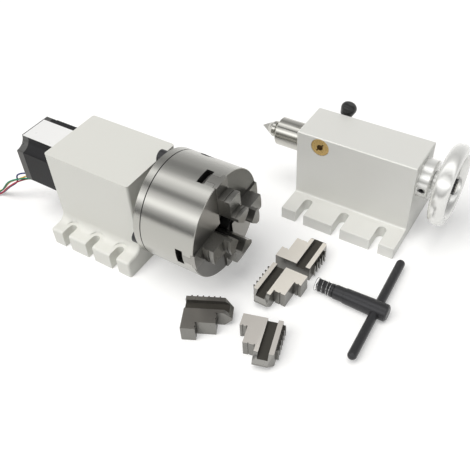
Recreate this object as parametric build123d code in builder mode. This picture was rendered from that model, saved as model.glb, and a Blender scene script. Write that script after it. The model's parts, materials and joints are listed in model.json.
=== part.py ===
from build123d import *
from math import cos, pi, radians, sin, sqrt, tan
import os

os.makedirs("parts", exist_ok=True)

# A fourth-axis set for a small milling table: a headstock that turns a
# four-jaw chuck through a strain-wave reducer and a stepping motor, a
# tailstock that stands beside it, four spare jaws and the chuck key.
# Lengths are in millimetres. X runs along the spindle towards the chuck,
# Z is up, and the origin is on the table under the middle of the headstock.

# Clearances
running_gap = 0.05        # shaft in its bearing, on the radius
sliding_gap = 0.2         # slide in its slot, on each side
free_gap = 0.3            # parts that pass without touching

# Headstock block
spindle_height = 62.0
block_length = 97.0
block_width = 68.5
block_height = 97.0
foot_height = 18.5
foot_reach = 18.6
foot_rounding = 2.5
root_radius = 9.0
slot_width = 8.5
slot_pitch = 29.5
slot_reach = 14.8
slot_count = 3
washer_radius = 8.0

# Stepping motor
motor_width = 56.4
motor_corner_radius = 2.0
motor_notch_radius = 11.2
motor_length = 56.0
front_bell_thickness = 9.0
rear_bell_thickness = 8.0
motor_pocket_depth = 8.5
pilot_diameter = 38.1
pilot_height = 1.6
motor_hole_inset = 4.63
mount_screw = 5.0
mount_screw_hold = 10.0
tie_screw_inset = 10.0
tie_screw = 3.0
tie_screw_seat = 3.2
motor_shaft_diameter = 8.0
motor_shaft_reach = 20.6
rotor_diameter = 28.0
label_thickness = 0.3
label_width = 29.0
label_shift = -3.0

# Coupling, strain-wave reducer and output bearing
coupling_diameter = 28.0
coupling_length = 30.0
input_bearing_diameter = 22.0
input_bearing_width = 7.0
reducer_diameter = 56.0
reducer_depth = 34.0
spline_width = 6.0
flexspline_diameter = 35.6
flexspline_wall = 1.2
flexspline_length = 22.0
wave_height = 0.25
bearing_width = 14.0
roller_diameter = 4.0
roller_circle = 46.0
roller_count = 16
hub_diameter = 45.2
hub_flange_diameter = 56.0
hub_gap = 13.2

# Chuck
chuck_diameter = 100.0
chuck_bore = 22.0
chuck_flange_thickness = 7.7
chuck_body_length = 54.5
chuck_edge = 0.5
chuck_hub_wall = 4.5
chamber_radius = 37.6
cover_thickness = 6.8
flange_screw_circle = 84.5
flange_screw_angle = 79.0
flange_screw_count = 3
flange_screw = 8.0
flange_screw_hold = 12.0
jaw_angle = 4.0
jaw_count = 4

# Scroll and pinions
scroll_pitch = 5.0
scroll_rib = 2.2
scroll_rib_height = 2.4
scroll_first_radius = 17.6
scroll_last_radius = 35.9
scroll_disc_thickness = 8.3
scroll_teeth = 48
pinion_teeth = 9
pinion_gear_outer = 36.5
pinion_gear_inner = 25.0
pinion_journal = 15.0
pinion_angle = 49.0
key_square = 8.0

# Jaws
jaw_width = 16.0
jaw_neck = 8.0
jaw_height = 37.4
jaw_teeth_height = 2.4
jaw_base_thickness = 4.3
jaw_groove = 9.0
jaw_length = 38.4
jaw_base_start = 6.2
jaw_base_end = 34.0
jaw_step_one = 7.0
jaw_step_two = 18.0
jaw_top_length = 12.0
jaw_middle_length = 15.0
jaw_tooth = 2.1
jaw_tooth_half_width = 6.4
jaw_tooth_outer_radius = 15.5
jaw_tooth_inner_radius = 46.0
jaw_tooth_count = 5
jaw_tip_radius = 11.6
grip_notch = 1.3
grip_notch_depth = 0.8

# Tailstock
tail_x = 188.5
tail_y = 140.8
tail_length = 118.0
tail_width = 45.5
tail_height = 86.0
tail_foot_height = 13.0
tail_foot_reach = 29.75
tail_edge = 0.8
tail_root_radius = 2.0
tail_slot_width = 9.0
tail_slot_pitch = 39.3
tail_slot_reach = 23.0
quill_diameter = 28.0
quill_length = 110.0
quill_reach = 30.7
quill_cap_length = 8.0
quill_flat_height = 9.7
quill_retract = 20.0
quill_extend = 30.0
centre_diameter = 16.0
centre_reach = 20.7
centre_land = 3.0
centre_neck = 12.0
centre_angle = 60.0
plug_diameter = 18.5
plug_height = 75.5
plug_from_front = 23.9
lock_stud = 6.0
feed_screw_diameter = 10.0
feed_nut_diameter = 20.0
feed_nut_length = 20.0
collar_diameter = 37.0
collar_length = 10.5
collar_screw = 6.0
wheel_gap = 14.4
wheel_radius = 33.0
wheel_rim_radius = 5.5
wheel_rim_width = 15.0
wheel_web = 4.0
wheel_hub_diameter = 18.0

# Key and tommy bar
key_y = 20.5
key_nose_x = 204.5
key_nose_length = 14.0
key_neck_diameter = 12.4
key_body_diameter = 15.5
key_length = 66.5
bar_diameter = 8.0
bar_length = 120.0
bar_from_head = 10.5
bar_lean = 2.1
bar_offset = 2.8
key_spring_diameter = 13.0
key_spring_wire = 0.8

# Motor leads and the coil that the rest of their length lies in
lead_diameter = 1.6
lead_pitch = 2.6
coil_x = -164.6
coil_y = -45.2
coil_inner = 6.3
coil_outer = 13.7
coil_low = 6.2
coil_high = 9.6

# Stations along the spindle
front_face = block_length / 2
rear_face = -block_length / 2
motor_face = rear_face + motor_pocket_depth
stack_front = motor_face - front_bell_thickness
motor_rear = motor_face - motor_length
motor_hole_pitch = motor_width - 2 * motor_hole_inset
tie_screw_pitch = motor_width - 2 * tie_screw_inset
stack_rear = motor_rear + rear_bell_thickness
reducer_floor = front_face - reducer_depth
flange_rear = front_face + hub_gap
body_rear = flange_rear + chuck_flange_thickness
body_front = body_rear + chuck_body_length
teeth_tip = 106.0
teeth_root = teeth_tip + jaw_teeth_height
base_top = teeth_root + jaw_base_thickness
head_start = base_top + jaw_groove
jaw_top = teeth_tip + jaw_height
scroll_front = teeth_tip - sliding_gap
web_rear = teeth_root + sliding_gap
hub_radius = chuck_bore / 2 + chuck_hub_wall
tail_front = tail_x - tail_length / 2
tail_rear = tail_x + tail_length / 2

# Planes and axes. A section plane holds the spindle line, with its own x along
# the spindle and its own y up; a cross plane stands square to it at x.
spindle_axis = Axis((0, 0, spindle_height), (1, 0, 0))
section = Plane(origin=(0, 0, spindle_height), x_dir=(1, 0, 0), z_dir=(0, -1, 0))
tail_axis = Axis((0, tail_y, spindle_height), (1, 0, 0))
tail_section = Plane(origin=(0, tail_y, spindle_height), x_dir=(1, 0, 0), z_dir=(0, -1, 0))


def cross(x, y=0.0, z=spindle_height, turn=0.0):
    """A plane square to the spindle, facing +X, turned about it by an angle in degrees."""
    across = (0, cos(radians(turn)), sin(radians(turn)))
    return Plane(origin=(x, y, z), x_dir=across, z_dir=(1, 0, 0))


def radial(x, angle, radius):
    """A plane that faces away from the spindle at an angle and a radius, its own x along +X."""
    outward = (0, cos(radians(angle)), sin(radians(angle)))
    at = (x, radius * outward[1], spindle_height + radius * outward[2])
    return Plane(origin=at, x_dir=(1, 0, 0), z_dir=outward)


def turned(corners, plane=section, axis=spindle_axis):
    """A solid of revolution from the corners (x, radius) of its half section."""
    with BuildPart() as shape:
        with BuildSketch(plane):
            with BuildLine():
                Polyline(*corners, close=True)
            make_face()
        revolve(axis=axis)
    return shape.part


def sleeve(start, end, outer, inner, plane=section, axis=spindle_axis):
    """A plain ring between two stations."""
    corners = [(start, inner), (end, inner), (end, outer), (start, outer)]
    return turned(corners, plane, axis)


def cap_screw(seat, diameter, length, head_diameter, head_height):
    """A socket cap screw that stands on a plane, head on the plane's outer side."""
    with BuildPart() as screw:
        with BuildSketch(seat):
            Circle(head_diameter / 2)
        extrude(amount=head_height)
        with BuildSketch(seat.offset(head_height)):
            RegularPolygon(head_diameter * 0.3, 6)
        extrude(amount=-head_height * 0.6, mode=Mode.SUBTRACT)
        with BuildSketch(seat):
            Circle(diameter / 2)
        extrude(amount=-length)
    return screw.part


def base_block(x, y, length, width, height, foot, reach, root, rounding):
    """A block on a flanged foot, drawn as one section and extruded along the spindle."""
    with BuildPart() as block:
        with BuildSketch(cross(x - length / 2, y, 0)):
            with Locations((0, height / 2)):
                Rectangle(width, height)
            with Locations((0, foot / 2)):
                Rectangle(width + 2 * reach, foot)
        extrude(amount=length)
        inner = block.edges().filter_by(Axis.X)
        inner = inner.filter_by_position(Axis.Z, foot - 0.01, foot + 0.01)
        roots = [edge for edge in inner if abs(abs(edge.center().Y - y) - width / 2) < 0.1]
        fillet(roots, radius=root)
        rims = block.edges().filter_by(Axis.X)
        rims = rims.filter_by_position(Axis.Z, foot - 0.01, foot + 0.01)
        rims = [edge for edge in rims if abs(abs(edge.center().Y - y) - width / 2 - reach) < 0.1]
        fillet(rims, radius=rounding)
    return block.part


def foot_slots(x, y, half, pitch, count, width, reach, height):
    """Open bolt slots that enter a foot from both long edges, as one cutting solid."""
    with BuildPart() as slots:
        for side in (-1, 1):
            with BuildSketch(Plane.XY):
                with Locations((x, y + side * (half - reach / 2 + width / 4))):
                    with GridLocations(pitch, 0, count, 1):
                        Rectangle(width, reach - width / 2)
                with Locations((x, y + side * (half - reach + width / 2))):
                    with GridLocations(pitch, 0, count, 1):
                        Circle(width / 2)
            extrude(amount=height)
    return slots.part


# Headstock housing
block_half = block_width / 2 + foot_reach
with BuildPart() as headstock_housing:
    add(base_block(0, 0, block_length, block_width, block_height, foot_height,
                   foot_reach, root_radius, foot_rounding))
    foot_ends = headstock_housing.edges().filter_by(Axis.Z)
    foot_ends = [edge for edge in foot_ends if abs(edge.center().Y) > block_half - 0.1]
    fillet(foot_ends, radius=foot_rounding)
    washer_y = block_half - slot_reach + slot_width / 2
    with BuildSketch(Plane.XY.offset(foot_height)):
        with GridLocations(slot_pitch, 2 * washer_y, slot_count, 2):
            Circle(washer_radius)
    extrude(amount=root_radius + 1, mode=Mode.SUBTRACT)
    add(foot_slots(0, 0, block_half, slot_pitch, slot_count, slot_width, slot_reach,
                   foot_height), mode=Mode.SUBTRACT)
    with BuildSketch(cross(rear_face)):
        Rectangle(motor_width + 2 * free_gap, motor_width + 2 * free_gap)
    extrude(amount=motor_pocket_depth, mode=Mode.SUBTRACT)
    add(sleeve(motor_face, reducer_floor - input_bearing_width - 5, pilot_diameter / 2 + sliding_gap, 0),
        mode=Mode.SUBTRACT)
    add(sleeve(motor_face, reducer_floor, motor_shaft_diameter, 0), mode=Mode.SUBTRACT)
    add(sleeve(reducer_floor - input_bearing_width, reducer_floor, input_bearing_diameter / 2, 0),
        mode=Mode.SUBTRACT)
    add(sleeve(reducer_floor, front_face, reducer_diameter / 2, 0), mode=Mode.SUBTRACT)
    with BuildSketch(cross(motor_face)):
        with GridLocations(motor_hole_pitch, motor_hole_pitch, 2, 2):
            Circle(mount_screw / 2)
    extrude(amount=mount_screw_hold + 2, mode=Mode.SUBTRACT)
headstock_housing.part.label = "headstock_housing"
export_step(headstock_housing.part, "parts/headstock_housing.step")


def notched_square():
    """Draws a motor bell or lamination in the open sketch: a square with a bite out of each corner."""
    Rectangle(motor_width, motor_width)
    with GridLocations(motor_width, motor_width, 2, 2):
        Circle(motor_notch_radius, mode=Mode.SUBTRACT)


bearing_outer = 11.0
bearing_width_small = 7.0
shaft_radius = motor_shaft_diameter / 2
stator_bore = rotor_diameter / 2 + free_gap

with BuildPart() as motor_front_bell:
    with BuildSketch(cross(motor_face)):
        RectangleRounded(motor_width, motor_width, motor_corner_radius)
    extrude(amount=-front_bell_thickness)
    with BuildSketch(cross(motor_face)):
        Circle(pilot_diameter / 2)
    extrude(amount=pilot_height)
    add(sleeve(stack_front, motor_face + pilot_height, shaft_radius + free_gap, 0), mode=Mode.SUBTRACT)
    add(sleeve(stack_front, stack_front + bearing_width_small, bearing_outer, 0), mode=Mode.SUBTRACT)
    with BuildSketch(cross(motor_face)):
        with GridLocations(motor_hole_pitch, motor_hole_pitch, 2, 2):
            Circle(mount_screw / 2 + sliding_gap)
        with GridLocations(tie_screw_pitch, tie_screw_pitch, 2, 2):
            Circle(tie_screw / 2)
    extrude(amount=-front_bell_thickness, mode=Mode.SUBTRACT)
motor_front_bell.part.label = "motor_front_bell"
export_step(motor_front_bell.part, "parts/motor_front_bell.step")

with BuildPart() as motor_stack:
    with BuildSketch(cross(stack_rear)):
        notched_square()
    extrude(amount=stack_front - stack_rear)
    with BuildSketch(cross(stack_rear)):
        Circle(stator_bore)
        with GridLocations(tie_screw_pitch, tie_screw_pitch, 2, 2):
            Circle(tie_screw / 2)
    extrude(amount=stack_front - stack_rear, mode=Mode.SUBTRACT)
motor_stack.part.label = "motor_stack"
export_step(motor_stack.part, "parts/motor_stack.step")

exit_x = motor_rear + rear_bell_thickness / 2
exit_y = -6.0
exit_z = spindle_height - motor_width / 2
grommet_length = 12.0
grommet_width = 4.0
grommet_depth = 5.0
with BuildPart() as motor_rear_bell:
    with BuildSketch(cross(motor_rear)):
        notched_square()
    extrude(amount=rear_bell_thickness)
    add(sleeve(stack_rear - bearing_width_small, stack_rear, bearing_outer, 0), mode=Mode.SUBTRACT)
    with BuildSketch(cross(motor_rear)):
        with GridLocations(tie_screw_pitch, tie_screw_pitch, 2, 2):
            Circle(tie_screw / 2)
    extrude(amount=rear_bell_thickness, mode=Mode.SUBTRACT)
    with BuildSketch(cross(motor_rear)):
        with GridLocations(tie_screw_pitch, tie_screw_pitch, 2, 2):
            Circle(tie_screw)
    extrude(amount=tie_screw_seat, mode=Mode.SUBTRACT)
    with BuildSketch(Plane(origin=(exit_x, exit_y, exit_z), x_dir=(0, 1, 0), z_dir=(0, 0, 1))):
        SlotOverall(grommet_length, grommet_width)
    extrude(amount=grommet_depth, mode=Mode.SUBTRACT)
motor_rear_bell.part.label = "motor_rear_bell"
export_step(motor_rear_bell.part, "parts/motor_rear_bell.step")

with BuildPart() as lead_grommet:
    grommet_plane = Plane(origin=(exit_x, exit_y, exit_z), x_dir=(0, 1, 0), z_dir=(0, 0, 1))
    with BuildSketch(grommet_plane):
        SlotOverall(grommet_length, grommet_width)
    extrude(amount=grommet_depth)
lead_grommet.part.label = "lead_grommet"
export_step(lead_grommet.part, "parts/lead_grommet.step")

with BuildPart() as motor_label:
    with BuildSketch(Plane.XY.offset(spindle_height + motor_width / 2)):
        with Locations(((motor_rear + 1.5 + rear_face - 0.5) / 2, label_shift)):
            Rectangle(rear_face - 0.5 - motor_rear - 1.5, label_width)
    extrude(amount=label_thickness)
motor_label.part.label = "motor_label"
export_step(motor_label.part, "parts/motor_label.step")

mount_screws = []
tie_screws = []
for side in (-1, 1):
    for level in (-1, 1):
        y = side * motor_hole_pitch / 2
        z = spindle_height + level * motor_hole_pitch / 2
        seat = Plane(origin=(stack_front, y, z), x_dir=(0, 1, 0), z_dir=(-1, 0, 0))
        reach = front_bell_thickness + mount_screw_hold
        mount_screws.append(cap_screw(seat, mount_screw - 2 * running_gap, reach, 8.5, mount_screw))
        y = side * tie_screw_pitch / 2
        z = spindle_height + level * tie_screw_pitch / 2
        seat = Plane(origin=(motor_rear + tie_screw_seat, y, z), x_dir=(0, 1, 0), z_dir=(-1, 0, 0))
        reach = motor_length - tie_screw_seat - 2.0
        tie_screws.append(cap_screw(seat, tie_screw - 2 * running_gap, reach, 5.5, tie_screw))
with BuildPart() as motor_mount_screws:
    add(mount_screws)
motor_mount_screws.part.label = "motor_mount_screws"
export_step(motor_mount_screws.part, "parts/motor_mount_screws.step")
with BuildPart() as motor_tie_screws:
    add(tie_screws)
motor_tie_screws.part.label = "motor_tie_screws"
export_step(motor_tie_screws.part, "parts/motor_tie_screws.step")

with BuildPart() as motor_bearings:
    bore = shaft_radius + running_gap
    add(sleeve(stack_front, stack_front + bearing_width_small, bearing_outer, bore))
    add(sleeve(stack_rear - bearing_width_small, stack_rear, bearing_outer, bore))
motor_bearings.part.label = "motor_bearings"
export_step(motor_bearings.part, "parts/motor_bearings.step")

shaft_end = motor_face + motor_shaft_reach
with BuildPart() as motor_shaft:
    add(sleeve(stack_rear - bearing_width_small, shaft_end, shaft_radius, 0))
    flat = shaft_radius - 0.5
    with BuildSketch(cross(shaft_end - 15)):
        with Locations((0, flat + 1)):
            Rectangle(motor_shaft_diameter, 2)
    extrude(amount=15, mode=Mode.SUBTRACT)
motor_shaft.part.label = "motor_shaft"
export_step(motor_shaft.part, "parts/motor_shaft.step")

rotor_margin = 2.0
with BuildPart() as motor_rotor:
    add(sleeve(stack_rear + rotor_margin, stack_front - rotor_margin, rotor_diameter / 2, shaft_radius))
motor_rotor.part.label = "motor_rotor"
export_step(motor_rotor.part, "parts/motor_rotor.step")

# Shaft coupling between the motor and the wave generator's shaft
coupling_start = motor_face + 4
coupling_end = coupling_start + coupling_length
with BuildPart() as shaft_coupling:
    add(sleeve(coupling_start, coupling_end, coupling_diameter / 2, shaft_radius))
    for x in (coupling_start + 9, coupling_start + 12, coupling_start + 15, coupling_start + 18):
        add(sleeve(x, x + 1.2, coupling_diameter / 2 + 1, coupling_diameter / 2 - 3), mode=Mode.SUBTRACT)
shaft_coupling.part.label = "shaft_coupling"
export_step(shaft_coupling.part, "parts/shaft_coupling.step")

input_start = shaft_end + 2
wave_start = reducer_floor + 0.5
wave_width = 5.0
with BuildPart() as input_shaft:
    add(sleeve(input_start, wave_start + wave_width, shaft_radius, 0))
input_shaft.part.label = "input_shaft"
export_step(input_shaft.part, "parts/input_shaft.step")

with BuildPart() as input_bearing:
    add(sleeve(reducer_floor - input_bearing_width, reducer_floor, input_bearing_diameter / 2,
               shaft_radius + running_gap))
input_bearing.part.label = "input_bearing"
export_step(input_bearing.part, "parts/input_bearing.step")

# Wave generator: an elliptical plug that turns inside the flexible cup
cup_bore = flexspline_diameter / 2 - flexspline_wall
wave_major = cup_bore - running_gap
wave_minor = wave_major - 2 * wave_height
race_wall = 2.0
with BuildPart() as wave_generator:
    with BuildSketch(cross(wave_start)):
        Ellipse(wave_major - race_wall, wave_minor - race_wall)
        Circle(shaft_radius, mode=Mode.SUBTRACT)
    extrude(amount=wave_width)
wave_generator.part.label = "wave_generator"
export_step(wave_generator.part, "parts/wave_generator.step")

with BuildPart() as wave_bearing:
    with BuildSketch(cross(wave_start)):
        Ellipse(wave_major, wave_minor)
        Ellipse(wave_major - race_wall, wave_minor - race_wall, mode=Mode.SUBTRACT)
    extrude(amount=wave_width)
wave_bearing.part.label = "wave_bearing"
export_step(wave_bearing.part, "parts/wave_bearing.step")

with BuildPart() as circular_spline:
    add(sleeve(reducer_floor, reducer_floor + spline_width, reducer_diameter / 2,
               flexspline_diameter / 2 + free_gap))
circular_spline.part.label = "circular_spline"
export_step(circular_spline.part, "parts/circular_spline.step")

cup_start = reducer_floor + 0.3
cup_end = cup_start + flexspline_length
cup_boss = 9.0
with BuildPart() as flexspline:
    outer = flexspline_diameter / 2
    add(turned([(cup_start, cup_bore), (cup_end - flexspline_wall, cup_bore),
                (cup_end - flexspline_wall, cup_boss), (cup_end - 3, cup_boss),
                (cup_end - 3, 5), (cup_end + 2, 5), (cup_end + 2, cup_boss),
                (cup_end, cup_boss), (cup_end, outer), (cup_start, outer)]))
flexspline.part.label = "flexspline"
export_step(flexspline.part, "parts/flexspline.step")

# Output bearing: an outer ring in the block, an inner ring that is one with the
# hub, and rollers lying in a square groove between them.
bearing_end = front_face - 8.0
bearing_start = bearing_end - bearing_width
race = roller_circle / 2
race_gap = 0.4
groove_half = (roller_diameter + 0.1) / sqrt(2) - race_gap
roller_x = (bearing_start + bearing_end) / 2
with BuildPart() as output_bearing_ring:
    add(turned([(reducer_floor + spline_width, reducer_diameter / 2),
                (reducer_floor + spline_width, flexspline_diameter / 2 + 3),
                (bearing_start, flexspline_diameter / 2 + 3), (bearing_start, race + race_gap),
                (roller_x - groove_half, race + race_gap), (roller_x, race + race_gap + groove_half),
                (roller_x + groove_half, race + race_gap), (bearing_end, race + race_gap),
                (bearing_end, reducer_diameter / 2)]))
output_bearing_ring.part.label = "output_bearing_ring"
export_step(output_bearing_ring.part, "parts/output_bearing_ring.step")

with BuildPart() as output_rollers:
    for index in range(roller_count):
        angle = 360 / roller_count * index
        lean = 1 if index % 2 else -1
        outward = (0, cos(radians(angle)), sin(radians(angle)))
        axis = (lean, outward[1], outward[2])
        centre = (roller_x, race * outward[1], spindle_height + race * outward[2])
        seat = Plane(origin=centre, z_dir=axis)
        with BuildSketch(seat.offset(-roller_diameter / 2 + 0.1)):
            Circle(roller_diameter / 2)
        extrude(amount=roller_diameter - 0.2)
output_rollers.part.label = "output_rollers"
export_step(output_rollers.part, "parts/output_rollers.step")

hub_bore = 5.0
hub_radius_out = hub_diameter / 2
with BuildPart() as output_hub:
    add(turned([(cup_end + 2, hub_bore), (flange_rear, hub_bore), (flange_rear, hub_flange_diameter / 2),
                (front_face + 2, hub_flange_diameter / 2), (front_face + 2, hub_radius_out),
                (roller_x + groove_half, hub_radius_out), (roller_x, hub_radius_out - groove_half),
                (roller_x - groove_half, hub_radius_out), (bearing_start + 0.5, hub_radius_out),
                (bearing_start + 0.5, flexspline_diameter / 2 + free_gap),
                (cup_end + 2, flexspline_diameter / 2 + free_gap)]))
output_hub.part.label = "output_hub"
export_step(output_hub.part, "parts/output_hub.step")

with BuildPart() as bearing_retainer:
    add(sleeve(bearing_end, front_face, reducer_diameter / 2, hub_radius_out + free_gap))
    with BuildSketch(cross(front_face)):
        with PolarLocations(race + 2.8, 6, start_angle=30):
            Circle(1.6)
    extrude(amount=-(front_face - bearing_end), mode=Mode.SUBTRACT)
bearing_retainer.part.label = "bearing_retainer"
export_step(bearing_retainer.part, "parts/bearing_retainer.step")

# Chuck flange, body and cover
chuck_radius = chuck_diameter / 2
with BuildPart() as chuck_flange:
    edge = chuck_edge
    add(turned([(flange_rear, chuck_bore / 2), (body_rear, chuck_bore / 2), (body_rear, chuck_radius - edge),
                (body_rear - edge, chuck_radius), (flange_rear + edge, chuck_radius),
                (flange_rear, chuck_radius - edge)]))
    with BuildSketch(cross(flange_rear)):
        with PolarLocations(flange_screw_circle / 2, flange_screw_count, start_angle=flange_screw_angle):
            Circle(flange_screw / 2 + sliding_gap)
    extrude(amount=chuck_flange_thickness, mode=Mode.SUBTRACT)
chuck_flange.part.label = "chuck_flange"
export_step(chuck_flange.part, "parts/chuck_flange.step")

flange_screw_parts = []
for index in range(flange_screw_count):
    angle = radians(flange_screw_angle + 360 / flange_screw_count * index)
    y = flange_screw_circle / 2 * cos(angle)
    z = spindle_height + flange_screw_circle / 2 * sin(angle)
    seat = Plane(origin=(flange_rear, y, z), x_dir=(0, 1, 0), z_dir=(-1, 0, 0))
    reach = chuck_flange_thickness + flange_screw_hold
    flange_screw_parts.append(cap_screw(seat, flange_screw - 2 * running_gap, reach, 13.0, flange_screw))
with BuildPart() as flange_screws:
    add(flange_screw_parts)
flange_screws.part.label = "flange_screws"
export_step(flange_screws.part, "parts/flange_screws.step")

pinion_x = scroll_front - scroll_disc_thickness - 10.0
jaw_angles = [jaw_angle + 360 / jaw_count * index for index in range(jaw_count)]
pinion_angles = [pinion_angle, pinion_angle + 180]


def slot_box(angle, start, end, width, inner=0.0, outer=chuck_radius + 2):
    """A radial slot cut from the spindle line to past the rim, between two stations."""
    with BuildPart() as box:
        with BuildSketch(cross(start, turn=angle)):
            with Locations(((inner + outer) / 2, 0)):
                Rectangle(outer - inner, width)
        extrude(amount=end - start)
    return box.part


with BuildPart() as chuck_body:
    edge = chuck_edge
    add(turned([(body_rear, chuck_bore / 2), (body_front, chuck_bore / 2),
                (body_front, chuck_radius - edge), (body_front - edge, chuck_radius),
                (body_rear + edge, chuck_radius), (body_rear, chuck_radius - edge),
                (body_rear, chamber_radius), (web_rear, chamber_radius),
                (web_rear, hub_radius), (body_rear, hub_radius)]))
    for angle in jaw_angles:
        wide = jaw_width + 2 * sliding_gap
        add(slot_box(angle, scroll_front, base_top + sliding_gap, wide), mode=Mode.SUBTRACT)
        add(slot_box(angle, base_top, head_start, jaw_neck + 2 * sliding_gap), mode=Mode.SUBTRACT)
        add(slot_box(angle, head_start - sliding_gap, body_front + 1, wide), mode=Mode.SUBTRACT)
    for angle in pinion_angles:
        with BuildSketch(radial(pinion_x, angle, chamber_radius - 2)):
            Circle(pinion_journal / 2 + running_gap)
        extrude(amount=chuck_radius, mode=Mode.SUBTRACT)
    with BuildSketch(cross(body_rear)):
        with PolarLocations(flange_screw_circle / 2, flange_screw_count, start_angle=flange_screw_angle):
            Circle(flange_screw / 2)
    extrude(amount=flange_screw_hold + 2, mode=Mode.SUBTRACT)
chuck_body.part.label = "chuck_body"
export_step(chuck_body.part, "parts/chuck_body.step")

with BuildPart() as scroll_cover:
    add(sleeve(body_rear, body_rear + cover_thickness, chamber_radius, hub_radius))
scroll_cover.part.label = "scroll_cover"
export_step(scroll_cover.part, "parts/scroll_cover.step")

# Scroll: a disc with a spiral rib on its front and bevel teeth on its rear.
# The rib's middle line follows r = first radius + pitch * turns.
pinion_pitch_radius = pinion_gear_outer * pinion_teeth / scroll_teeth
gear_addendum = 0.4
gear_depth = 2.2
scroll_radius = chamber_radius - free_gap
turns = (scroll_last_radius - scroll_first_radius) / scroll_pitch
steps = int(turns * 24)


def spiral_point(turn, offset):
    radius = scroll_first_radius + scroll_pitch * turn + offset
    return (radius * cos(2 * pi * turn), radius * sin(2 * pi * turn))


def gear_station(radius):
    """Where the tips of the bevel teeth stand at a radius: on a cone about the pinion's pitch cone."""
    return pinion_x + (pinion_pitch_radius - gear_addendum) * radius / pinion_gear_outer


with BuildPart() as scroll:
    add(turned([(gear_station(hub_radius + 8), hub_radius + 8), (gear_station(scroll_radius), scroll_radius),
                (scroll_front, scroll_radius), (scroll_front, hub_radius + running_gap),
                (gear_station(hub_radius + 8), hub_radius + running_gap)]))
    with BuildSketch(cross(scroll_front)):
        with BuildLine():
            outer_points = [spiral_point(turns * k / steps, scroll_rib / 2) for k in range(steps + 1)]
            inner_points = [spiral_point(turns * k / steps, -scroll_rib / 2) for k in range(steps + 1)]
            rib_outer = Spline(*outer_points)
            rib_inner = Spline(*inner_points)
            Line(rib_outer @ 0, rib_inner @ 0)
            Line(rib_outer @ 1, rib_inner @ 1)
        make_face()
    extrude(amount=scroll_rib_height)
    for index in range(scroll_teeth):
        angle = pinion_angle + 360 / scroll_teeth * (index + 0.5)
        sections = []
        for radius in (hub_radius + 7, scroll_radius + 1):
            scale_here = radius / pinion_gear_outer
            plane = radial(gear_station(radius), angle, radius)
            with BuildSketch(plane) as tooth_gap:
                with BuildLine():
                    Polyline((-0.3 * scale_here, -1.45 * scale_here), (-0.3 * scale_here, 1.45 * scale_here),
                             (gear_depth * scale_here, 1.0 * scale_here),
                             (gear_depth * scale_here, -1.0 * scale_here), close=True)
                make_face()
            sections.append(tooth_gap.sketch)
        add(loft(sections, ruled=True, mode=Mode.PRIVATE), mode=Mode.SUBTRACT)
scroll.part.label = "scroll"
export_step(scroll.part, "parts/scroll.step")

# Pinions: nine bevel teeth that taper towards the spindle, a journal in the
# chuck's rim and a square socket for the key.
socket_depth = 9.0
for index, angle in enumerate(pinion_angles):
    with BuildPart() as pinion:
        sections = []
        for radius in (pinion_gear_inner, pinion_gear_outer):
            with BuildSketch(radial(pinion_x, angle, radius)) as teeth:
                scale_here = radius / pinion_gear_outer
                tip = (pinion_pitch_radius + 0.6) * scale_here
                root = (pinion_pitch_radius - 1.8) * scale_here
                corners = []
                for tooth in range(pinion_teeth):
                    middle = 2 * pi / pinion_teeth * (tooth + 0.5)
                    for reach, half in ((root, 1.1), (tip, 0.6), (tip, -0.6), (root, -1.1)):
                        turn = middle - half * scale_here / reach
                        corners.append((reach * cos(turn), reach * sin(turn)))
                with BuildLine():
                    Polyline(*corners, close=True)
                make_face()
            sections.append(teeth.sketch)
        add(loft(sections, ruled=True, mode=Mode.PRIVATE))
        with BuildSketch(radial(pinion_x, angle, pinion_gear_outer)):
            Circle(pinion_pitch_radius - 1.8)
        extrude(amount=scroll_radius + free_gap - pinion_gear_outer)
        with BuildSketch(radial(pinion_x, angle, scroll_radius + free_gap)):
            Circle(pinion_journal / 2)
        extrude(amount=chuck_radius - 0.8 - scroll_radius - free_gap)
        with BuildSketch(radial(pinion_x, angle, chuck_radius - 0.8)):
            Rectangle(key_square + 0.3, key_square + 0.3)
        extrude(amount=-socket_depth, mode=Mode.SUBTRACT)
    pinion.part.label = f"pinion_{index + 1}"
    export_step(pinion.part, f"parts/pinion_{index + 1}.step")


def riser(station, high, low, into):
    """The corners down one grip face, with a relief at its foot and a notch half way."""
    middle = (high + low) / 2 + grip_notch / 2
    deep = station + into * grip_notch_depth
    corners = [(high, station)]
    if high - low > 4 * grip_notch:
        corners += [(middle + grip_notch / 2, station), (middle + grip_notch / 2, deep),
                    (middle - grip_notch / 2, deep), (middle - grip_notch / 2, station)]
    corners += [(low + grip_notch, station), (low + grip_notch, deep), (low, deep)]
    return corners


def crescent(plane, middle, half, outward):
    """A scroll tooth, rounder outside than the tightest turn and flatter inside than the widest."""
    outer_centre = middle + outward * (jaw_tooth / 2 - jaw_tooth_outer_radius)
    inner_centre = middle - outward * (jaw_tooth / 2 + jaw_tooth_inner_radius)
    outer_edge = outer_centre + outward * sqrt(jaw_tooth_outer_radius ** 2 - jaw_tooth_half_width ** 2)
    inner_edge = inner_centre + outward * sqrt(jaw_tooth_inner_radius ** 2 - jaw_tooth_half_width ** 2)
    width = jaw_tooth_half_width
    with BuildPart() as tooth:
        with BuildSketch(plane):
            with BuildLine():
                ThreePointArc((outer_edge, half - width), (middle + outward * jaw_tooth / 2, half),
                              (outer_edge, half + width))
                Line((outer_edge, half + width), (inner_edge, half + width))
                ThreePointArc((inner_edge, half + width), (middle - outward * jaw_tooth / 2, half),
                              (inner_edge, half - width))
                Line((inner_edge, half - width), (outer_edge, half - width))
            make_face()
        extrude(amount=jaw_teeth_height)
    return tooth.part


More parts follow.
